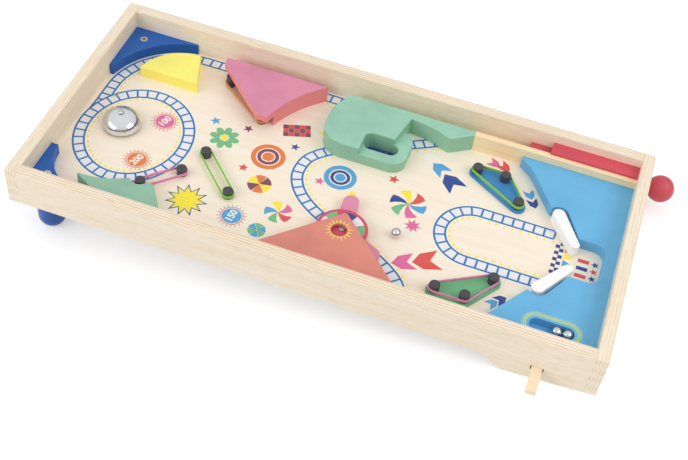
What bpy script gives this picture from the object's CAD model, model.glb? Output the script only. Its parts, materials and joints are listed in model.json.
import json
import math

import bmesh
import bpy
from mathutils import Matrix, Vector


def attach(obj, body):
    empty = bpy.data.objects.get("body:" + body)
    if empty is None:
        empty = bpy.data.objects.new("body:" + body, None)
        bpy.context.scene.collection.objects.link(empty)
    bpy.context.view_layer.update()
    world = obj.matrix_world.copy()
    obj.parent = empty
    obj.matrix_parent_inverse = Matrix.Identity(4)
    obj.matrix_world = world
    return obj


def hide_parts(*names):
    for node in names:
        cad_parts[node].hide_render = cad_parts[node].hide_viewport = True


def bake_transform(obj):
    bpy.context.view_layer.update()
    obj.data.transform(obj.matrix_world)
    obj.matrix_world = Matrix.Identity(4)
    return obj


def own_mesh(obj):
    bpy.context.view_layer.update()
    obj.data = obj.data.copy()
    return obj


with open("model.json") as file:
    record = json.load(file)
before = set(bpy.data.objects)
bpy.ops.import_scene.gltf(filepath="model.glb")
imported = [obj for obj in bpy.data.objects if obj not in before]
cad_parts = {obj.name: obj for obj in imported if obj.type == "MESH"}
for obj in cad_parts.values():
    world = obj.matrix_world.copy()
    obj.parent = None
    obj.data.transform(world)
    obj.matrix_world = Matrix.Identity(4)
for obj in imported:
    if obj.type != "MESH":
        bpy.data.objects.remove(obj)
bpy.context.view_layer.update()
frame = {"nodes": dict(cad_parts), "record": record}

# The board's own frame, in millimetres: X down the slope from the high end, Y from the front
# side to the rear, Z up from the playing surface. BOARD turns it into the frame's metres.
SLOPE = math.radians(4.1)
BOARD_ORIGIN = Vector((-0.328965, -0.1485, 0.063895))
MM = 0.001
BOARD = Matrix.Translation(BOARD_ORIGIN) @ Matrix.Rotation(SLOPE, 4, "Y") @ Matrix.Scale(MM, 4)

# Cabinet and blocks that the prints and the rubber bands line up with. MIDDLE is the line
# half-way between the flippers.
BOX_LENGTH = 630.0
BOX_WIDTH = 297.0
WALL = 13.0
RIGHT_WALL = BOX_LENGTH - WALL
REAR_WALL = BOX_WIDTH - WALL
LANE_WIDTH = 15.5
LANE_EDGE = REAR_WALL - LANE_WIDTH
LANE_MIDDLE = REAR_WALL - LANE_WIDTH / 2
MIDDLE = 137.0
BLOCK_TOP = 13.5
COVER_TOP = 15.2
DISC_TOP = 10.0
SPINNER = (338.2, 81.8)
VIEW_HOLE = (337.1, 75.2)
POST_RADIUS = 5.5
PLATE = 3.0

# Rubber bands: thickness, height, lift above the board or plate, gap to the posts, corner
# radius, step along the straight runs, and degrees between the points of the section
BAND = 1.3
BAND_HEIGHT = 3.2
BAND_LIFT = 2.6
BAND_GAP = 0.02
BAND_CORNER = 0.42
BAND_STEP = 4
BAND_TURN = 30

# Height of one layer of print, and how finely arcs and curves are divided
PRINT = 0.04
ARC_STEP = math.radians(6.0)
CURVE_STEPS = 8


def tone(red, green, blue):
    """A colour as it looks on a screen, 0 to 255, as the shader's linear numbers."""
    def linear(value):
        share = value / 255
        return share / 12.92 if share <= 0.04045 else ((share + 0.055) / 1.055) ** 2.4

    return (linear(red), linear(green), linear(blue), 1.0)


def scaled(colour, factor, lift=0.0):
    """The colour with its channels scaled and lifted, none of them above 1."""
    return tuple(min(1.0, channel * factor + lift) for channel in colour[:3]) + (1.0,)


# Materials

class Finish:
    """A material whose patterns are measured in the board's own millimetres."""

    def __init__(self, name, roughness=0.5, metallic=0.0):
        self.material = bpy.data.materials.new(name)
        self.material.use_nodes = True
        self.tree = self.material.node_tree
        self.shader = self.tree.nodes["Principled BSDF"]
        self.shader.inputs["Roughness"].default_value = roughness
        self.shader.inputs["Metallic"].default_value = metallic
        self.place = self.add("ShaderNodeTexCoord")
        board = self.add("ShaderNodeMapping")
        board.vector_type = "TEXTURE"
        board.inputs["Location"].default_value = BOARD_ORIGIN
        board.inputs["Rotation"].default_value = (0, SLOPE, 0)
        board.inputs["Scale"].default_value = (MM, MM, MM)
        self.join(self.place.outputs["Object"], board.inputs["Vector"])
        self.board = board.outputs["Vector"]

    def add(self, kind):
        return self.tree.nodes.new(kind)

    def join(self, source, target):
        self.tree.links.new(source, target)

    def feed(self, target, value):
        if isinstance(value, bpy.types.NodeSocket):
            self.join(value, target)
        else:
            target.default_value = value

    def sum(self, operation, first, second=0.0):
        node = self.add("ShaderNodeMath")
        node.operation = operation
        for target, value in zip(node.inputs, (first, second)):
            self.feed(target, value)
        return node.outputs[0]

    def parts(self, vector):
        node = self.add("ShaderNodeSeparateXYZ")
        self.join(vector, node.inputs[0])
        return node.outputs

    def noise(self, scale, detail=3.0, rough=0.55, warp=0.0):
        """Noise whose scale is given along X, Y and Z, per millimetre."""
        stretch = self.add("ShaderNodeMapping")
        stretch.inputs["Scale"].default_value = scale
        self.join(self.board, stretch.inputs["Vector"])
        node = self.add("ShaderNodeTexNoise")
        node.inputs["Scale"].default_value = 1.0
        node.inputs["Detail"].default_value = detail
        node.inputs["Roughness"].default_value = rough
        node.inputs["Distortion"].default_value = warp
        self.join(stretch.outputs["Vector"], node.inputs["Vector"])
        return node.outputs["Fac"]

    def ramp(self, value, *stops):
        node = self.add("ShaderNodeValToRGB")
        self.join(value, node.inputs["Fac"])
        while len(node.color_ramp.elements) < len(stops):
            node.color_ramp.elements.new(1.0)
        for element, (position, colour) in zip(node.color_ramp.elements, stops):
            element.position = position
            element.color = colour if hasattr(colour, "__len__") else (colour, colour, colour, 1.0)
        return node.outputs["Color"]

    def mix(self, share, first, second):
        node = self.add("ShaderNodeMix")
        node.data_type = "RGBA"
        self.feed(node.inputs["Factor"], share)
        self.feed(node.inputs["A"], first)
        self.feed(node.inputs["B"], second)
        return node.outputs["Result"]

    def colour(self, value):
        self.feed(self.shader.inputs["Base Color"], value)

    def roughness(self, value, low, high):
        node = self.add("ShaderNodeMapRange")
        node.inputs["To Min"].default_value = low
        node.inputs["To Max"].default_value = high
        self.join(value, node.inputs["Value"])
        self.join(node.outputs["Result"], self.shader.inputs["Roughness"])

    def bump(self, value, depth, strength=1.0):
        """A bump whose depth is in millimetres."""
        node = self.add("ShaderNodeBump")
        node.inputs["Distance"].default_value = depth * MM
        node.inputs["Strength"].default_value = strength
        self.join(value, node.inputs["Height"])
        self.join(node.outputs["Normal"], self.shader.inputs["Normal"])


BIRCH_LIGHT = tone(252, 242, 224)
BIRCH = tone(248, 233, 209)
BIRCH_DARK = tone(242, 223, 195)
PLY_DARK = tone(200, 158, 114)
PLY_PITCH = 3.3
ALONG_X = (True, False, False)
ALONG_Y = (False, True, False)


def grain(finish, along, across, lengthwise):
    """Long streaks along the axis marked in lengthwise: (broad figure, fine pores)."""
    broad = finish.noise([along if axis else across for axis in lengthwise], 5.0, 0.65, 0.4)
    pores = finish.noise([along * 9 if axis else across * 9 for axis in lengthwise], 3.0, 0.75)
    return broad, pores


def plywood(name, thick_axis, outer_face, strength=1.0):
    """Birch faces with grain along the panel, and layers striped that strongly on every edge."""
    finish = Finish(name)
    broad, pores = grain(finish, 0.006, 0.11, ALONG_X if thick_axis == 1 else ALONG_Y)
    face = finish.ramp(broad, (0.28, BIRCH_DARK), (0.47, BIRCH), (0.72, BIRCH_LIGHT))
    face = finish.mix(finish.ramp(pores, (0.34, 0.3), (0.5, 0.0)), face, PLY_DARK)
    depth = finish.sum("SUBTRACT", finish.parts(finish.board)[thick_axis], outer_face)
    wander = finish.noise((0.02, 0.02, 0.02), 1.0)
    depth = finish.sum("ADD", depth, finish.sum("MULTIPLY", wander, 0.5))
    layers = finish.sum("FRACT", finish.sum("DIVIDE", depth, PLY_PITCH))
    ridge = finish.sum("ABSOLUTE", finish.sum("SUBTRACT", layers, 0.5))
    stripes = finish.ramp(ridge, (0.0, 1.0), (0.07, 0.9), (0.15, 0.0), (0.5, 0.0))
    normal = finish.parts(finish.place.outputs["Normal"])
    facing = finish.sum("ABSOLUTE", normal[thick_axis])
    edge = finish.ramp(facing, (0.4, 1.0), (0.8, 0.0))
    end = finish.ramp(finish.sum("ABSOLUTE", normal[1 - thick_axis]), (0.6, 0.5), (0.9, 1.0))
    fibre = finish.noise((0.5, 0.5, 0.5), 3.0, 0.8)
    share = finish.sum("MULTIPLY", finish.sum("MULTIPLY", edge, end), stripes)
    uneven = finish.sum("ADD", 0.55, finish.sum("MULTIPLY", fibre, 0.7))
    share = finish.sum("MULTIPLY", share, finish.sum("MULTIPLY", uneven, strength))
    finish.colour(finish.mix(share, face, PLY_DARK))
    finish.roughness(broad, 0.42, 0.58)
    finish.bump(finish.mix(0.5, pores, stripes), 0.05, 0.35)
    return finish.material


def plain_wood(name, light, dark, lengthwise):
    """A planed strip with grain along it."""
    finish = Finish(name)
    broad, pores = grain(finish, 0.008, 0.14, lengthwise)
    rings = finish.ramp(broad, (0.3, dark), (0.5, light), (0.62, light), (0.75, dark))
    finish.colour(finish.mix(finish.ramp(pores, (0.35, 0.3), (0.55, 0.0)), rings, dark))
    finish.roughness(broad, 0.42, 0.6)
    finish.bump(pores, 0.05, 0.35)
    return finish.material


def printed_board():
    """Bare birch with a faint blush, under the prints."""
    finish = Finish("printed_birch")
    broad, pores = grain(finish, 0.005, 0.075, ALONG_X)
    face = finish.ramp(
        broad,
        (0.25, tone(247, 231, 208)), (0.5, tone(252, 240, 220)), (0.75, tone(254, 245, 230)),
    )
    face = finish.mix(finish.ramp(pores, (0.34, 0.25), (0.5, 0.0)), face, BIRCH_DARK)
    blush = finish.noise((0.012, 0.02, 0.02), 2.0)
    face = finish.mix(finish.ramp(blush, (0.4, 0.0), (0.75, 0.25)), face, tone(250, 230, 216))
    finish.colour(face)
    finish.roughness(broad, 0.38, 0.52)
    finish.bump(pores, 0.04, 0.25)
    return finish.material


def paint(name, colour, roughness=0.42, side=None):
    """Satin lacquer on wood: the grain just shows, and the sawn sides take the paint darker."""
    finish = Finish(name)
    broad, pores = grain(finish, 0.012, 0.12, ALONG_X)
    patches = finish.noise((0.025, 0.025, 0.025), 2.0)
    darker = scaled(colour, 0.9)
    lighter = scaled(colour, 1.05, 0.004)
    coat = finish.ramp(patches, (0.3, darker), (0.5, colour), (0.72, lighter))
    upward = finish.parts(finish.place.outputs["Normal"])[2]
    on_side = finish.ramp(finish.sum("ABSOLUTE", upward), (0.3, 1.0), (0.75, 0.0))
    coat = finish.mix(on_side, coat, side or darker)
    finish.colour(finish.mix(finish.ramp(pores, (0.36, 0.3), (0.52, 0.0)), coat, darker))
    finish.roughness(broad, roughness - 0.06, roughness + 0.08)
    peel = finish.noise((0.9, 0.9, 0.9), 2.0, 0.5)
    finish.bump(finish.mix(0.5, pores, peel), 0.05, 0.3)
    return finish.material


def ink(name, colour):
    """Thin print that lets a little of the wood's grain through."""
    finish = Finish(name)
    broad, pores = grain(finish, 0.006, 0.08, ALONG_X)
    wood = tone(232, 205, 170)
    worn = finish.ramp(broad, (0.3, 0.05), (0.7, 0.0))
    coat = finish.mix(worn, colour, wood)
    finish.colour(finish.mix(finish.ramp(pores, (0.3, 0.12), (0.42, 0.0)), coat, wood))
    finish.roughness(broad, 0.36, 0.5)
    return finish.material


def plastic(name, colour, roughness, speckle=0.0):
    """Moulded plastic or coated card, with pale specks as strong as speckle says."""
    finish = Finish(name)
    cloud = finish.noise((0.12, 0.12, 0.12), 2.0)
    coat = finish.ramp(cloud, (0.35, scaled(colour, 0.95)), (0.65, colour))
    grit = finish.noise((2.4, 2.4, 2.4), 2.0, 0.6)
    lit = scaled(colour, 1 + speckle, speckle * 0.06)
    finish.colour(finish.mix(finish.ramp(grit, (0.52, 0.0), (0.66, speckle)), coat, lit))
    finish.roughness(cloud, roughness - 0.05, roughness + 0.06)
    finish.bump(grit, 0.03, 0.3)
    return finish.material


def rubber(name, colour):
    finish = Finish(name)
    cloud = finish.noise((0.3, 0.3, 0.6), 3.0)
    finish.colour(finish.ramp(cloud, (0.32, scaled(colour, 0.82)), (0.6, colour)))
    finish.roughness(cloud, 0.45, 0.62)
    ribs = finish.noise((0.2, 0.2, 3.0), 2.0, 0.6)
    finish.bump(ribs, 0.08, 0.5)
    finish.shader.inputs["Sheen Weight"].default_value = 0.12
    return finish.material


def metal(name, colour, low, high, brushed):
    """Metal whose roughness wanders from low to high, with fine marks where it is brushed."""
    finish = Finish(name, metallic=1.0)
    finish.colour(colour)
    marks = finish.noise((0.25, 4.0, 4.0) if brushed else (0.08, 0.08, 0.08), 3.0, 0.6)
    finish.roughness(marks, low, high)
    if brushed:
        finish.bump(marks, 0.02, 0.25)
    return finish.material


MATERIALS = {
    "printed_board": printed_board(),
    "pine": plain_wood("pine_strip", tone(252, 230, 188), tone(240, 208, 156), ALONG_X),
    "painted_dark_blue": paint("dark_blue_lacquer", tone(18, 92, 178)),
    "painted_light_blue": paint("light_blue_lacquer", tone(104, 182, 228)),
    "painted_yellow": paint("yellow_lacquer", tone(255, 245, 122), side=tone(255, 242, 112)),
    "painted_sage": paint("sage_lacquer", tone(156, 206, 182), side=tone(142, 192, 162)),
    "painted_pink": paint("pink_lacquer", tone(222, 140, 168), side=tone(236, 136, 140)),
    "painted_salmon": paint("salmon_lacquer", tone(222, 138, 122)),
    "painted_red": paint("red_lacquer", tone(214, 78, 92)),
    "plate_green": paint("green_plate_lacquer", tone(112, 182, 132)),
    "plate_blue": paint("blue_plate_lacquer", tone(62, 142, 202)),
    "black_plastic": plastic("dark_plastic", tone(62, 62, 68), 0.5, 0.8),
    "white_plastic": plastic("white_plastic", tone(254, 254, 253), 0.3),
    "lime_rubber": rubber("lime_rubber", tone(134, 202, 60)),
    "pink_rubber": rubber("pink_rubber", tone(230, 142, 186)),
    "orange_rubber": rubber("orange_rubber", tone(226, 132, 52)),
    "pale_rubber": rubber("pale_rubber", tone(214, 190, 140)),
    "blue_foot": paint("foot_lacquer", tone(16, 84, 170), 0.36),
    "white_card": plastic("disc_print", tone(214, 78, 104), 0.42),
    "beech": plain_wood("beech_strip", tone(248, 230, 198), tone(236, 208, 166), ALONG_Y),
    "steel": metal("zinc_steel", tone(202, 204, 208), 0.22, 0.4, True),
    "polished_steel": metal("ball_steel", tone(216, 217, 220), 0.05, 0.13, False),
    "bell_metal": metal("bell_nickel", tone(224, 226, 230), 0.06, 0.15, False),
}
# Nodes with a finish of their own
OWN_FINISH = {
    "front_side_panel": plywood("front_plywood", 1, 0.0, 1.45),
    "rear_side_panel": plywood("rear_plywood", 1, REAR_WALL),
    "left_end_panel": plywood("left_plywood", 0, 0.0, 0.7),
    "right_end_panel": plywood("right_plywood", 0, RIGHT_WALL, 0.5),
    "green_crescent": paint(
        "crescent_lacquer", tone(148, 194, 168), side=tone(138, 188, 156),
    ),
}
SLOTS = {part["node"]: part["material_slot"] for part in frame["record"]["subparts"]}

for node, thing in frame["nodes"].items():
    thing.data.materials.clear()
    thing.data.materials.append(OWN_FINISH.get(node) or MATERIALS[SLOTS[node]])


# Building helpers

def finish_piece(name, mesh, material, body, smooth=False):
    """Turns a mesh in the board's millimetres into a piece. Without a body it rides on none."""
    data = bpy.data.meshes.new(name)
    bmesh.ops.recalc_face_normals(mesh, faces=mesh.faces)
    mesh.transform(BOARD)
    mesh.to_mesh(data)
    mesh.free()
    piece = bpy.data.objects.new(name, data)
    bpy.context.scene.collection.objects.link(piece)
    data.materials.append(material)
    if smooth:
        data.shade_smooth()
    if body:
        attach(piece, body)
    return piece


class Inked:
    """Flat printed shapes of one colour, a hair above the face that they are printed on."""

    def __init__(self, name, material, low=0.0, layer=1, body="cabinet", slot="printed_board"):
        self.name = name
        self.material = material
        self.low = low
        self.high = low + PRINT * layer
        self.body = body
        self.slot = slot
        self.mesh = bmesh.new()

    def shape(self, points):
        tops = [self.mesh.verts.new((x, y, self.high)) for x, y in points]
        feet = [self.mesh.verts.new((x, y, self.low)) for x, y in points]
        self.mesh.faces.new(tops)
        self.mesh.faces.new(feet[::-1])
        for index in range(len(points)):
            after = (index + 1) % len(points)
            self.mesh.faces.new((tops[index], feet[index], feet[after], tops[after]))

    def line(self, points, width, closed=False, shift=0.0, lift=0.0):
        """A line of that width along the points, shifted to its left and raised by the lift."""
        rows = []
        for (x, y), (across_x, across_y) in zip(points, sideways(points, closed)):
            row = []
            for side in (shift + width / 2, shift - width / 2):
                for level in (self.high + lift, self.low):
                    place = (x + across_x * side, y + across_y * side, level)
                    row.append(self.mesh.verts.new(place))
            rows.append(row)
        spans = len(rows) if closed else len(rows) - 1
        for index in range(spans):
            here, there = rows[index], rows[(index + 1) % len(rows)]
            for a, b in ((0, 2), (2, 3), (3, 1), (1, 0)):
                self.mesh.faces.new((here[a], here[b], there[b], there[a]))
        if not closed:
            for row in (rows[0], rows[-1]):
                self.mesh.faces.new((row[0], row[1], row[3], row[2]))

    def done(self):
        finish_piece(self.name, self.mesh, self.material, self.body)


def sideways(points, closed):
    """Unit vectors to the left of the path at each point."""
    count = len(points)
    result = []
    for index in range(count):
        before = points[index - 1] if closed or index else points[0]
        after = points[(index + 1) % count] if closed or index < count - 1 else points[-1]
        run = (after[0] - before[0], after[1] - before[1])
        length = math.hypot(*run)
        result.append((-run[1] / length, run[0] / length))
    return result


def arc(x, y, radius, start, stop, radius_y=None):
    """Points of an arc from start to stop, in degrees."""
    steps = max(2, int(abs(math.radians(stop - start)) / ARC_STEP))
    turns = [math.radians(start + (stop - start) * step / steps) for step in range(steps + 1)]
    tall = radius_y or radius
    return [(x + radius * math.cos(turn), y + tall * math.sin(turn)) for turn in turns]


def round_shape(x, y, radius, radius_y=None):
    return arc(x, y, radius, 0, 360, radius_y)[:-1]


def smooth_path(points):
    """A curve that passes through every point."""
    path = []
    for index in range(len(points) - 1):
        before = Vector(points[max(index - 1, 0)])
        start = Vector(points[index])
        stop = Vector(points[index + 1])
        after = Vector(points[min(index + 2, len(points) - 1)])
        for step in range(CURVE_STEPS):
            share = step / CURVE_STEPS
            bend = (
                2 * start + (stop - before) * share
                + (2 * before - 5 * start + 4 * stop - after) * share ** 2
                + (3 * start - before - 3 * stop + after) * share ** 3
            ) / 2
            path.append(tuple(bend))
    return path + [tuple(points[-1])]


def evenly(points, pitch, closed=False):
    """Places along the path, about a pitch apart, each with the direction there."""
    line = list(points) + ([points[0]] if closed else [])
    lengths = [math.dist(a, b) for a, b in zip(line, line[1:])]
    total = sum(lengths)
    count = max(1, round(total / pitch))
    places = []
    for index in range(count + (0 if closed else 1)):
        wanted = total * index / count
        for (start, stop), length in zip(zip(line, line[1:]), lengths):
            if wanted <= length or (start, stop) == (line[-2], line[-1]):
                share = min(1.0, wanted / length)
                break
            wanted -= length
        run = ((stop[0] - start[0]) / length, (stop[1] - start[1]) / length)
        place = (start[0] + run[0] * share * length, start[1] + run[1] * share * length)
        places.append((place, run))
    return places


# Prints on the playing surface

INKS = {
    "rail_blue": tone(28, 118, 184),
    "pale": tone(238, 238, 242),
    "halo": tone(250, 244, 234),
    "yellow": tone(252, 234, 60),
    "dark_blue": tone(6, 66, 148),
    "light_blue": tone(78, 164, 218),
    "red": tone(222, 80, 78),
    "pink": tone(226, 104, 160),
    "green": tone(112, 190, 134),
    "orange": tone(232, 124, 62),
    "plum": tone(124, 66, 96),
    "lime": tone(214, 224, 66),
}
INK = {name: ink("ink_" + name, colour) for name, colour in INKS.items()}
LAYERS = {"halo": 1, "pale": 2, "rail_blue": 3}
prints = {
    name: Inked("print_" + name, INK[name], layer=LAYERS.get(name, 4))
    for name in INKS
}
LADDER_HALF = 5.9
LADDER_LINE = 2.2
HALO_EDGE = 2.2
RUNG_PITCH = 11.3
DOT_PITCH = 9.0
DOTS_IN = 9.9
DOT_RADIUS = 1.5


def ladder(path, closed=False, dots=0.0, lift=0.0):
    """A lane drawn as a ladder, with dots at that distance to its left where it isn't zero."""
    prints["halo"].line(path, 2 * LADDER_HALF + 2 * HALO_EDGE, closed, 0.0, lift)
    prints["pale"].line(path, 2 * LADDER_HALF, closed, 0.0, lift)
    for side in (LADDER_HALF, -LADDER_HALF):
        prints["rail_blue"].line(path, LADDER_LINE, closed, side, lift)
    reach = LADDER_HALF - LADDER_LINE / 2
    for (x, y), (run_x, run_y) in evenly(path, RUNG_PITCH, closed):
        ends = [(x - run_y * reach * side, y + run_x * reach * side) for side in (1, -1)]
        prints["rail_blue"].line(ends, LADDER_LINE, False, 0.0, lift)
    if dots:
        for (x, y), (run_x, run_y) in evenly(path, DOT_PITCH, closed):
            prints["yellow"].shape(round_shape(x - run_y * dots, y + run_x * dots, DOT_RADIUS))


# The ring round the bell, with its half width and half height
RING = (80.8, 131.0)
RING_HALF = (58.5, 66.8)
ladder(arc(*RING, RING_HALF[0], 0, 360, RING_HALF[1])[:-1], True, DOTS_IN)

# The launch lane's ladder comes round the rear corner, given as X, Y and radius, and runs into
# the ring. It lies a little higher than the ring's where they cross.
LAUNCH = (107.4, 192.5, 82.3)
LAUNCH_START = 296.0
LAUNCH_LIFT = PRINT / 3
MEET = 177.0
launch_start = (LAUNCH_START, LAUNCH[1] + LAUNCH[2])
launch_end = (LAUNCH[0] - LAUNCH[2], MEET)
ladder([launch_start] + arc(*LAUNCH, 90, 180) + [launch_end], dots=DOTS_IN, lift=LAUNCH_LIFT)
LAUNCH_RAIL = LAUNCH[0] - LAUNCH[2] - LADDER_HALF


def ring_rail(y):
    """X of the ring's outer rail, on its left half."""
    rise = (y - RING[1]) / (RING_HALF[1] + LADDER_HALF)
    return RING[0] - (RING_HALF[0] + LADDER_HALF) * math.sqrt(1 - rise * rise)


# The corner between the two ladders, closed by a rail and one rung
MEET_STEPS = (MEET, 171.0, 165.0, 159.0, 153.0)
MEET_RUNG = 167.0
RAIL_BEND = 166.0
RAIL_END = 150.0
gore = [(ring_rail(y), y) for y in MEET_STEPS]
prints["pale"].shape([(LAUNCH_RAIL, MEET_STEPS[-1]), (LAUNCH_RAIL, MEET)] + gore)
for points in (
    [(LAUNCH_RAIL, MEET), (LAUNCH_RAIL, RAIL_BEND), (ring_rail(RAIL_END), RAIL_END)],
    [(LAUNCH_RAIL, MEET_RUNG), (ring_rail(MEET_RUNG), MEET_RUNG)],
):
    prints["rail_blue"].line(points, LADDER_LINE)

# The arch from the launch lane, under the spinner, to the front side
ARCH = [
    (410.0, 266.0), (384.0, 249.0), (340.0, 224.0), (304.0, 205.0), (284.0, 191.0), (270.0, 174.5),
    (266.0, 158.0), (267.2, 142.6), (274.6, 127.3), (286.3, 114.2), (299.0, 104.8), (312.0, 97.5),
    (343.0, 84.0), (376.0, 69.0), (399.0, 54.5), (413.0, 40.0), (418.0, 22.0), (419.0, 14.0),
]
ladder(smooth_path(ARCH), dots=DOTS_IN)

# The ladder before the flippers: X, Y and radius of its round end
STADIUM = (468.0, 135.6, 36.0)
STADIUM_END = 549.0
ladder(
    [(STADIUM_END, STADIUM[1] + STADIUM[2])] + arc(*STADIUM, 90, 270)
    + [(STADIUM_END, STADIUM[1] - STADIUM[2])],
    dots=DOTS_IN,
)

# A chevron that points along X, from its notch
CHEVRON = [(19.6, 0), (9.2, 10.6), (-10.8, 13.2), (0, 0), (-10.8, -13.2), (9.2, -10.6)]


def chevron(colour, x, y, angle, size):
    turn = Matrix.Rotation(math.radians(angle), 2)
    points = [turn @ Vector(point) * size for point in CHEVRON]
    prints[colour].shape([(x + point.x, y + point.y) for point in points])


# Ink, X, Y, angle and size of each
CHEVRONS = (
    ("halo", 397.0, 228.0, 154, 0.62), ("halo", 495.0, 240.0, -52, 0.5),
    ("red", 434.6, 85.0, 208, 0.98), ("pink", 412.5, 74.0, 208, 0.82),
    ("dark_blue", 428.9, 200.0, 140, 0.88), ("light_blue", 411.0, 215.5, 148, 0.7),
    ("pink", 461.0, 250.6, -15, 0.48), ("red", 473.0, 250.0, -28, 0.52),
    ("light_blue", 509.8, 220.3, -58, 0.46), ("dark_blue", 516.5, 209.0, -56, 0.46),
    ("light_blue", 507.0, 54.6, 46, 0.44), ("dark_blue", 513.8, 62.4, 46, 0.46),
)
for row in CHEVRONS:
    chevron(*row)


def star_shape(x, y, outer, inner, tips, turn=0.0):
    corners = []
    for index in range(2 * tips):
        angle = math.radians(turn) + math.pi * index / tips
        radius = inner if index % 2 else outer
        corners.append((x + radius * math.cos(angle), y + radius * math.sin(angle)))
    return corners


def star(colour, *numbers):
    prints[colour].shape(star_shape(*numbers))


def target(x, y, rings):
    """Rings given as ink, outer and inner radius. An inner radius of zero makes a disc."""
    for colour, outer, inner in rings:
        if inner:
            middle = (outer + inner) / 2
            prints[colour].line(round_shape(x, y, middle), outer - inner, True)
        else:
            prints[colour].shape(round_shape(x, y, outer))


NUMBER_LEVEL = PRINT * 3
NUMBER_BOLD = 0.03
WELD = 0.001


def number(text, colour, x, y, size, angle):
    """Plain digits on top of the other prints."""
    curve = bpy.data.curves.new("digits", "FONT")
    curve.body = text
    curve.size = size
    curve.align_x = "CENTER"
    curve.align_y = "CENTER"
    curve.extrude = NUMBER_LEVEL
    curve.offset = size * NUMBER_BOLD
    holder = bpy.data.objects.new("digits", curve)
    bpy.context.scene.collection.objects.link(holder)
    bpy.context.view_layer.update()
    evaluated = holder.evaluated_get(bpy.context.evaluated_depsgraph_get())
    data = bpy.data.meshes.new_from_object(evaluated)
    bpy.data.objects.remove(holder)
    mesh = bmesh.new()
    mesh.from_mesh(data)
    bmesh.ops.remove_doubles(mesh, verts=mesh.verts, dist=WELD)
    turn = Matrix.Rotation(math.radians(angle), 4, "Z")
    mesh.transform(Matrix.Translation((x, y, NUMBER_LEVEL)) @ turn)
    finish_piece("number_" + text, mesh, INK[colour], "cabinet")


# Each score stands in a badge: a disc with a thin ring and a wreath of short strokes
BADGES = (
    ("100", "pink", 103.0, 163.0, 72),
    ("200", "orange", 100.0, 97.0, 72),
    ("150", "light_blue", 224.0, 62.0, 84),
)
BADGE_DISC = 10.4
BADGE_RING = 12.0
BADGE_STROKES = 20
STROKE_ENDS = (13.4, 15.8)
STROKE_WIDTH = 0.8
DIGIT_SIZE = 11.0
for text, colour, x, y, turn in BADGES:
    prints[colour].shape(round_shape(x, y, BADGE_DISC))
    prints["red"].line(round_shape(x, y, BADGE_RING), STROKE_WIDTH, True)
    for index in range(BADGE_STROKES):
        angle = 2 * math.pi * index / BADGE_STROKES
        out = (math.cos(angle), math.sin(angle))
        ends = [(x + reach * out[0], y + reach * out[1]) for reach in STROKE_ENDS]
        prints[colour].line(ends, STROKE_WIDTH)
    number(text, "halo", x, y, DIGIT_SIZE, turn)

PINWHEEL_LEAN = 26
BLADE_SHARE = 0.62
BLADE_STEPS = (0.35, 0.7, 1.0)
HUB_SHARE = 0.16
BALL_GAP = 2
BALL_HUB = 0.8
PETAL_PLACE = 0.64
PETAL_LENGTH = 0.72
PETAL_WIDTH = 0.6
HEART_SHARE = 0.24


def pinwheel(x, y, radius, colours, turn):
    """Blades that lean further round towards their tips, and a hub."""
    sweep = 360 / len(colours)

    def leaning(angle, share):
        place = math.radians(angle + PINWHEEL_LEAN * share)
        return (x + radius * share * math.cos(place), y + radius * share * math.sin(place))

    for index, colour in enumerate(colours):
        start = turn + index * sweep
        stop = start + sweep * BLADE_SHARE
        blade = [(x, y)] + [leaning(start, share) for share in BLADE_STEPS]
        blade += arc(x, y, radius, start + PINWHEEL_LEAN, stop + PINWHEEL_LEAN)[1:]
        blade += [leaning(stop, share) for share in BLADE_STEPS[-2::-1]]
        prints[colour].shape(blade)
    prints["halo"].shape(round_shape(x, y, radius * HUB_SHARE))


def beach_ball(x, y, radius, colours, turn):
    """Sectors with narrow gaps between them."""
    sweep = 360 / len(colours)
    for index, colour in enumerate(colours):
        start = turn + sweep * index + BALL_GAP
        stop = turn + sweep * (index + 1) - BALL_GAP
        sector = arc(x, y, radius, start, stop) + arc(x, y, BALL_HUB, stop, start)
        prints[colour].shape(sector)


def flower(x, y, radius, petals, colour, heart):
    """Oval petals round a heart."""
    half_length = radius * PETAL_LENGTH / 2
    half_width = math.pi * radius * PETAL_WIDTH / petals
    for index in range(petals):
        angle = 2 * math.pi * index / petals
        out = (math.cos(angle), math.sin(angle))
        petal_x = x + radius * PETAL_PLACE * out[0]
        petal_y = y + radius * PETAL_PLACE * out[1]
        prints[colour].shape([
            (petal_x + out[0] * a - out[1] * b, petal_y + out[1] * a + out[0] * b)
            for a, b in round_shape(0, 0, half_length, half_width)
        ])
    prints[heart].shape(round_shape(x, y, radius * HEART_SHARE))


# Pinwheels, targets, balls, a flower, stars and a chequered card fill the rest of the field
pinwheel(391.0, 152.0, 20.0, ("red", "yellow", "dark_blue", "green", "pink", "light_blue"), 12)
target(
    311.0, 160.0, (("light_blue", 18.0, 12.5), ("dark_blue", 10.8, 7.4), ("light_blue", 5.8, 0)),
)
star("pink", 292.0, 146.0, 6.0, 2.6, 5, 20)
star("yellow", 331.0, 141.0, 6.5, 2.8, 5, 50)
star("red", 366.0, 181.0, 6.5, 2.8, 5, 10)
star("pink", 404.0, 124.0, 9.5, 4.6, 8)
flower(173.0, 166.0, 17.0, 8, "green", "yellow")
star("light_blue", 154.0, 187.0, 6.5, 2.8, 5, 50)
star("plum", 192.0, 190.0, 6.0, 2.6, 5, 5)
target(228.0, 158.0, (("orange", 19.0, 13.6), ("plum", 12.0, 8.0), ("orange", 6.4, 0)))
beach_ball(234.0, 116.0, 13.0, ("plum", "orange", "yellow", "plum", "orange", "yellow"), 10)
star("red", 209.0, 132.0, 6.0, 2.6, 5, 30)
star("dark_blue", 250.0, 184.0, 5.5, 2.4, 5, 15)
star("yellow", 273.0, 218.0, 6.0, 2.6, 5, 40)
pinwheel(267.0, 86.0, 15.0, ("pink", "yellow", "light_blue", "green", "red"), 0)
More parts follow.
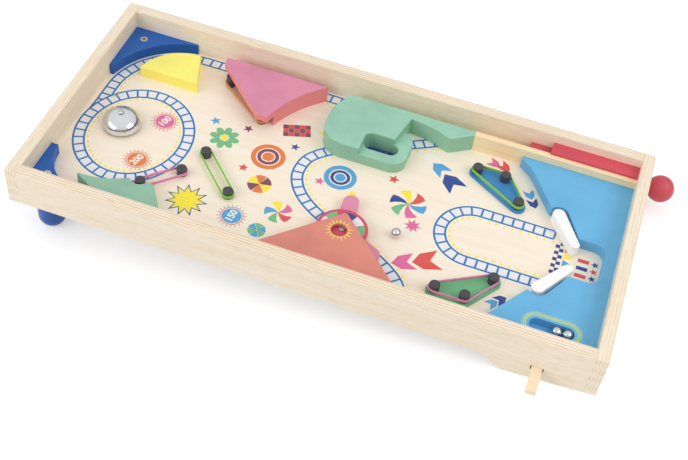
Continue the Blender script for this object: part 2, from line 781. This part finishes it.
beach_ball(255.0, 54.0, 9.5, ("light_blue", "green") * 3, 0)

CARD = (243.0, 209.0)
CARD_COLUMNS = 5
CARD_ROWS = 3
CARD_CHECK = 6.2
CARD_HALF = CARD_CHECK * 0.48
CARD_RUN = CARD_CHECK * 0.94
CARD_RISE = CARD_CHECK * 0.34
card_turn = Matrix.Rotation(math.radians(20), 2)
for column in range(CARD_COLUMNS):
    for row in range(CARD_ROWS):
        right = column - CARD_COLUMNS // 2
        up = row - CARD_ROWS // 2
        centre = Vector(CARD) + Vector((
            right * CARD_RUN - up * CARD_RISE, up * CARD_RUN + right * CARD_RISE,
        ))
        corners = [
            tuple(centre + card_turn @ Vector(corner) * CARD_HALF)
            for corner in ((1, 1), (-1, 1), (-1, -1), (1, -1))
        ]
        prints["red" if (column + row) % 2 else "plum"].shape(corners)

# A burst with a yellow fill over its dark outline
BURST = (172.0, 64.0)
BURST_TIPS = 11
BURST_TURN = 8
star("dark_blue", *BURST, 23.0, 13.0, BURST_TIPS, BURST_TURN)
top_yellow = Inked("print_burst_fill", INK["yellow"], layer=5)
top_yellow.shape(star_shape(*BURST, 19.6, 11.6, BURST_TIPS, BURST_TURN))

# Under the hook block's ball pocket: a dark patch with one dot
POCKET_Y = LANE_EDGE - 58.7
POCKET_LEFT = (329.5, POCKET_Y)
POCKET_RIGHT = (351.5, POCKET_Y)
POCKET_HALF = 9.2
POCKET_DOT = (352.5, POCKET_Y - 3.0, 3.4)
prints["dark_blue"].shape(
    arc(*POCKET_LEFT, POCKET_HALF, 90, 270) + arc(*POCKET_RIGHT, POCKET_HALF, -90, 90)
)
top_yellow.shape(round_shape(*POCKET_DOT))

# At the drain: a chequered line between the ladder's ends, flags, a striped panel and stars
CHECK = 4.6
CHECK_ROWS = 12
CHECK_X = 553.0
for column in range(2):
    for row in range(column, CHECK_ROWS, 2):
        x = CHECK_X + column * CHECK
        y = MIDDLE - CHECK_ROWS // 2 * CHECK + row * CHECK
        prints["dark_blue"].shape([(x, y), (x + CHECK, y), (x + CHECK, y + CHECK), (x, y + CHECK)])

FLAG_FOOT = 564.0
FLAG_TIP = 574.0
FLAG_HALF = 4.2
FLAG_PITCH = 9.6
for index, colour in enumerate(("red", "yellow", "light_blue", "yellow", "red")):
    y = MIDDLE + (index - 2) * FLAG_PITCH
    prints[colour].shape([(FLAG_FOOT, y - FLAG_HALF), (FLAG_TIP, y), (FLAG_FOOT, y + FLAG_HALF)])

STRIPE = 5.2
STRIPE_GAP = 0.3
STRIPE_ENDS = (579.0, 591.0)
for index, colour in enumerate(("red", "halo", "dark_blue", "halo", "red")):
    y = MIDDLE + (index - 2) * STRIPE
    prints[colour].line([(x, y) for x in STRIPE_ENDS], STRIPE - STRIPE_GAP)

DRAIN_STARS_X = 597.5
DRAIN_STARS_PITCH = 10
for index, colour in enumerate(("dark_blue", "red", "dark_blue")):
    star(colour, DRAIN_STARS_X, MIDDLE + (index - 1) * DRAIN_STARS_PITCH, 4.4, 1.9, 5, 180)

# One piece for each ink that the field uses. The lime ink is only for the line round the tray.
top_yellow.done()
for printed in prints.values():
    if printed.mesh.faces:
        printed.done()
    else:
        printed.mesh.free()

# Sun rays round the cover's view hole
rays = Inked("cover_rays", INK["yellow"], low=COVER_TOP, slot="painted_salmon")
RAYS = 18
RAY_FOOT = 9.3
RAY_TIPS = (14.2, 15.6)
RAY_HALF = 0.95
for index in range(RAYS):
    angle = 2 * math.pi * index / RAYS
    reach = RAY_TIPS[index % 2]
    out_x = math.cos(angle)
    out_y = math.sin(angle)
    foot_x = VIEW_HOLE[0] + RAY_FOOT * out_x
    foot_y = VIEW_HOLE[1] + RAY_FOOT * out_y
    rays.shape([
        (foot_x - out_y * RAY_HALF, foot_y + out_x * RAY_HALF),
        (foot_x + out_y * RAY_HALF, foot_y - out_x * RAY_HALF),
        (VIEW_HOLE[0] + reach * out_x, VIEW_HOLE[1] + reach * out_y),
    ])
rays.done()

# Three sectors on each third of the spinner's disc, which turn with it
DISC_OUTER = 24.2
DISC_INNER = 12.5
SECTOR = 32
SECTOR_PITCH = 34
for index, colour in enumerate(("green", "pale", "dark_blue")):
    sectors = Inked("disc_" + colour, INK[colour], low=DISC_TOP, body="spinner", slot="white_card")
    for third in (0, 120, 240):
        start = third + index * SECTOR_PITCH
        stop = start + SECTOR
        outer_edge = arc(*SPINNER, DISC_OUTER, start, stop)
        sectors.shape(outer_edge + arc(*SPINNER, DISC_INNER, stop, start))
    sectors.done()

# Three lines round the ball tray, on the light blue board: distance and width of each
TRAY_LEFT = (RIGHT_WALL - 61.4, WALL + 24.1)
TRAY_RIGHT = (RIGHT_WALL - 30.6, WALL + 24.1)
TRAY_LINES = ((11.0, 0.9), (12.9, 1.1), (14.8, 0.5))
tray_line = Inked("tray_line", INK["lime"], low=BLOCK_TOP, slot="painted_light_blue")
for ring, width in TRAY_LINES:
    tray_path = arc(*TRAY_LEFT, ring, 90, 270) + arc(*TRAY_RIGHT, ring, -90, 90)
    tray_line.line(tray_path, width, True)
tray_line.done()


# Rubber bands

def belt(places, radius):
    """The path of a band round circles given anticlockwise: (x, y) points."""
    count = len(places)
    angles = []
    for index in range(count):
        start = places[index]
        stop = places[(index + 1) % count]
        angles.append(math.degrees(math.atan2(stop[1] - start[1], stop[0] - start[0])) - 90)
    path = []
    for index in range(count):
        begin = angles[index - 1]
        end = angles[index]
        while end < begin:
            end += 360
        path.extend(arc(*places[index], radius, begin, end))
    return path


def band_path(places, radius):
    """The belt's path, with further points along its straight runs."""
    path = belt(places, radius)
    dense = []
    for start, stop in zip(path, path[1:] + path[:1]):
        steps = max(1, int(math.dist(start, stop) / BAND_STEP))
        run = (stop[0] - start[0], stop[1] - start[1])
        for step in range(steps):
            share = step / steps
            dense.append((start[0] + run[0] * share, start[1] + run[1] * share))
    return dense


def band_section(foot, height):
    """The band's section, outwards and up, with rounded corners."""
    section = []
    for turn in range(0, 360, BAND_TURN):
        angle = math.radians(turn + BAND_TURN / 2)
        right = math.cos(angle)
        up = math.sin(angle)
        across = math.copysign(BAND / 2 - BAND_CORNER, right) + BAND_CORNER * right
        level = math.copysign(height / 2 - BAND_CORNER, up) + BAND_CORNER * up
        section.append((across, level + foot + height / 2))
    return section


def skin(mesh, pairs):
    """Joins the two closed rows of vertices in each pair with faces."""
    for here, there in pairs:
        for index in range(len(here)):
            after = (index + 1) % len(here)
            mesh.faces.new((here[index], there[index], there[after], here[after]))


def rubber_band(name, node, places, post, foot, height, slot, body="cabinet"):
    """A flat band with rounded edges, which stands for the plain ring."""
    dense = band_path(places, post + BAND / 2 + BAND_GAP)
    section = band_section(foot, height)
    mesh = bmesh.new()
    rows = []
    for (x, y), (left_x, left_y) in zip(dense, sideways(dense, True)):
        row = [(x - left_x * out, y - left_y * out, level) for out, level in section]
        rows.append([mesh.verts.new(place) for place in row])
    skin(mesh, zip(rows, rows[1:] + rows[:1]))
    piece = finish_piece(name, mesh, MATERIALS[slot], body, smooth=True)
    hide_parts(node)
    return piece


# The bands on the board, each under its CAD node: its own name, places of the posts, their
# radius, the band's lower edge and its rubber
FAR = RIGHT_WALL - 168.5
MID = RIGHT_WALL - 137.0
NEAR = RIGHT_WALL - 114.8
OUTER = 89.5
INNER = 56.5
PINK_POST = 5.0
BANDS = {
    "left_bumper_elastic": (
        "left_band", [(119.4, 64.0), (152.2, 97.0)],
        POST_RADIUS, BAND_LIFT, "pink_rubber",
    ),
    "middle_bumper_elastic": (
        "middle_band", [(209.8, MIDDLE - 50.6), (165.5, MIDDLE - 4.8)],
        POST_RADIUS, BAND_LIFT, "lime_rubber",
    ),
    "front_bumper_elastic": (
        "front_band", [(FAR, MIDDLE - OUTER), (MID, MIDDLE - OUTER), (NEAR, MIDDLE - INNER)],
        POST_RADIUS, PLATE + BAND_LIFT, "pink_rubber",
    ),
    "rear_bumper_elastic": (
        "rear_band", [(FAR, MIDDLE + OUTER), (NEAR, MIDDLE + INNER), (MID, MIDDLE + OUTER)],
        POST_RADIUS, PLATE + BAND_LIFT, "lime_rubber",
    ),
    "pink_block_elastic": (
        "pink_block_band", [(201.0, LANE_EDGE - 62.0), (147.0, LANE_EDGE - 19.5)],
        PINK_POST, BAND_LIFT, "orange_rubber",
    ),
}
for node, (name, places, post, foot, slot) in BANDS.items():
    rubber_band(name, node, places, post, foot, BAND_HEIGHT, slot)

# The return bands under the board, from a fixed peg to the lever's peg, stretch between the two
PIVOT_X = RIGHT_WALL - 70.0
CRANK = 22.5
CRANK_REST = math.radians(25.0)
LEVER_X = PIVOT_X + (CRANK * math.cos(CRANK_REST) + CRANK) / 2
PEG = 1.5
PEG_INSET = 21.0
PEG_SPAN = 26.0
RETURN_FOOT = -19.5
RETURN_HEIGHT = 2.5
for side, sign, wall_face in (("front", 1, WALL), ("rear", -1, REAR_WALL)):
    fixed = (LEVER_X, wall_face + sign * PEG_INSET)
    moving = (LEVER_X, fixed[1] + sign * PEG_SPAN)
    band = rubber_band(
        side + "_return_band", "return_elastic_" + side, [fixed, moving],
        PEG, RETURN_FOOT, RETURN_HEIGHT, "pale_rubber", None,
    )
    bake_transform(band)

# The plunger's spring, which shortens towards the end panel as the plunger comes out
WIRE = 0.6
SPRING_RADIUS = 5.4
TURNS = 18
PULL = 40.0
TAIL_X = RIGHT_WALL - 121.7 + PULL
SPRING_GAP = 0.1
SPRING_START = TAIL_X + WIRE + SPRING_GAP
SPRING_END = RIGHT_WALL - WIRE - SPRING_GAP
PLUNGER_LEVEL = 10.5
TURN_STEPS = 24
WIRE_SIDES = 10


def spring():
    """A coil of round wire from the striker to the end panel."""
    mesh = bmesh.new()
    rows = []
    steps = TURNS * TURN_STEPS
    pitch = (SPRING_END - SPRING_START) / TURNS
    for step in range(steps + 1):
        turn = 2 * math.pi * step / TURN_STEPS
        wide = SPRING_RADIUS * math.cos(turn)
        tall = SPRING_RADIUS * math.sin(turn)
        along = SPRING_START + pitch * step / TURN_STEPS
        centre = Vector((along, LANE_MIDDLE + wide, PLUNGER_LEVEL + tall))
        out = Vector((0, math.cos(turn), math.sin(turn)))
        up = Vector((pitch / (2 * math.pi), -tall, wide)).normalized().cross(out)
        row = []
        for side in range(WIRE_SIDES):
            angle = 2 * math.pi * side / WIRE_SIDES
            place = centre + out * WIRE * math.cos(angle) + up * WIRE * math.sin(angle)
            row.append(mesh.verts.new(place))
        rows.append(row)
    skin(mesh, zip(rows, rows[1:]))
    mesh.faces.new(rows[0][::-1])
    mesh.faces.new(rows[-1])
    piece = finish_piece("spring", mesh, MATERIALS["steel"], "cabinet", smooth=True)
    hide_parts("plunger_spring")
    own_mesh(piece)


spring()

# Crossed recesses in the screws of the corner blocks
SCREW = 30.0
SLOT_HALF = 0.55
SLOT_REACH = 2.1
SLOT_SINK = 0.02
CROSS = (
    (-SLOT_HALF, -SLOT_REACH), (SLOT_HALF, -SLOT_REACH), (SLOT_HALF, -SLOT_HALF),
    (SLOT_REACH, -SLOT_HALF), (SLOT_REACH, SLOT_HALF), (SLOT_HALF, SLOT_HALF),
    (SLOT_HALF, SLOT_REACH), (-SLOT_HALF, SLOT_REACH), (-SLOT_HALF, SLOT_HALF),
    (-SLOT_REACH, SLOT_HALF), (-SLOT_REACH, -SLOT_HALF), (-SLOT_HALF, -SLOT_HALF),
)
recess = Inked(
    "screw_recesses", MATERIALS["black_plastic"], low=BLOCK_TOP - SLOT_SINK, slot="black_plastic",
)
for y in (SCREW, BOX_WIDTH - SCREW):
    recess.shape([(SCREW + right, y + up) for right, up in CROSS])
recess.done()

# Floor, light and camera

FLOOR_GLOW = 0.4
FLOOR_HALF = 9.0


def floor_material():
    """Pale paper that looks white to the camera and in reflections and keeps the shadow."""
    finish = Finish("floor_paper", roughness=0.9)
    finish.colour(tone(224, 225, 227))
    glow = finish.add("ShaderNodeEmission")
    glow.inputs["Color"].default_value = (1, 1, 1, 1)
    rays = finish.add("ShaderNodeLightPath")
    seen = finish.sum("MAXIMUM", rays.outputs["Is Camera Ray"], rays.outputs["Is Glossy Ray"])
    seen = finish.sum("MAXIMUM", seen, rays.outputs["Is Transmission Ray"])
    finish.join(finish.sum("MULTIPLY", seen, FLOOR_GLOW), glow.inputs["Strength"])
    both = finish.add("ShaderNodeAddShader")
    finish.join(finish.shader.outputs[0], both.inputs[0])
    finish.join(glow.outputs[0], both.inputs[1])
    finish.join(both.outputs[0], finish.tree.nodes["Material Output"].inputs["Surface"])
    return finish.material


floor_mesh = bpy.data.meshes.new("floor")
floor_mesh.from_pydata(
    [(FLOOR_HALF * x, FLOOR_HALF * y, 0) for x, y in ((-1, -1), (1, -1), (1, 1), (-1, 1))],
    [], [(0, 1, 2, 3)],
)
floor_mesh.materials.append(floor_material())
floor = bpy.data.objects.new("floor", floor_mesh)
bpy.context.scene.collection.objects.link(floor)

# The sky's brightness by height: on dull surfaces, and in reflections
WORLD_LEVEL = 0.74
SOFT_SKY = ((0.0, 0.30), (0.12, 0.80), (1.0, 1.08))
GLOSS_SKY = ((0.0, 0.12), (0.22, 0.22), (0.42, 1.1), (1.0, 1.25))
world = bpy.data.worlds.new("studio")
world.use_nodes = True
bpy.context.scene.world = world
sky = world.node_tree
background = sky.nodes["Background"]
direction = sky.nodes.new("ShaderNodeTexCoord")
split = sky.nodes.new("ShaderNodeSeparateXYZ")
sky.links.new(direction.outputs["Generated"], split.inputs[0])
ray = sky.nodes.new("ShaderNodeLightPath")


def sky_ramp(stops):
    ramp = sky.nodes.new("ShaderNodeValToRGB")
    while len(ramp.color_ramp.elements) < len(stops):
        ramp.color_ramp.elements.new(1.0)
    for element, (position, level) in zip(ramp.color_ramp.elements, stops):
        element.position = position
        element.color = (level, level, level, 1.0)
    sky.links.new(split.outputs["Z"], ramp.inputs["Fac"])
    return ramp.outputs["Color"]


def sky_choice(ray_kind, otherwise):
    """One colour for rays of that kind, which goes into the node's B, and one for the others."""
    node = sky.nodes.new("ShaderNodeMix")
    node.data_type = "RGBA"
    sky.links.new(ray.outputs[ray_kind], node.inputs["Factor"])
    sky.links.new(otherwise, node.inputs["A"])
    return node


lit = sky_choice("Is Glossy Ray", sky_ramp(SOFT_SKY))
sky.links.new(sky_ramp(GLOSS_SKY), lit.inputs["B"])
seen = sky_choice("Is Camera Ray", lit.outputs["Result"])
seen.inputs["B"].default_value = [1 / WORLD_LEVEL] * 3 + [1.0]
sky.links.new(seen.outputs["Result"], background.inputs["Color"])
background.inputs["Strength"].default_value = WORLD_LEVEL


def softbox(name, place, size, power):
    """A rectangular lamp, in metres and watts, aimed at the board."""
    light = bpy.data.lights.new(name, "AREA")
    light.shape = "RECTANGLE"
    light.size, light.size_y = size
    light.energy = power
    holder = bpy.data.objects.new(name, light)
    holder.location = place
    holder.rotation_euler = (LIGHT_AIM - Vector(place)).to_track_quat("-Z", "Y").to_euler()
    bpy.context.scene.collection.objects.link(holder)


LIGHT_AIM = Vector((0, 0, 0.05))
softbox("key", (-1.5, -1.5, 1.3), (2.2, 1.2), 19.0)
softbox("fill", (1.7, -0.2, 1.4), (1.4, 1.2), 12.0)

CAMERA_PLACE = (0.25591, -0.86022, 0.95489)
CAMERA_TURN = (42.4874, -1.3238, 18.5570)
SENSOR = 36.0
FOCAL_LENGTH = 62.159
lens = bpy.data.cameras.new("camera")
lens.sensor_width = SENSOR
lens.lens = FOCAL_LENGTH
camera = bpy.data.objects.new("camera", lens)
camera.location = CAMERA_PLACE
camera.rotation_euler = [math.radians(angle) for angle in CAMERA_TURN]
bpy.context.scene.collection.objects.link(camera)
bpy.context.scene.camera = camera
bpy.context.scene.view_settings.view_transform = "Standard"
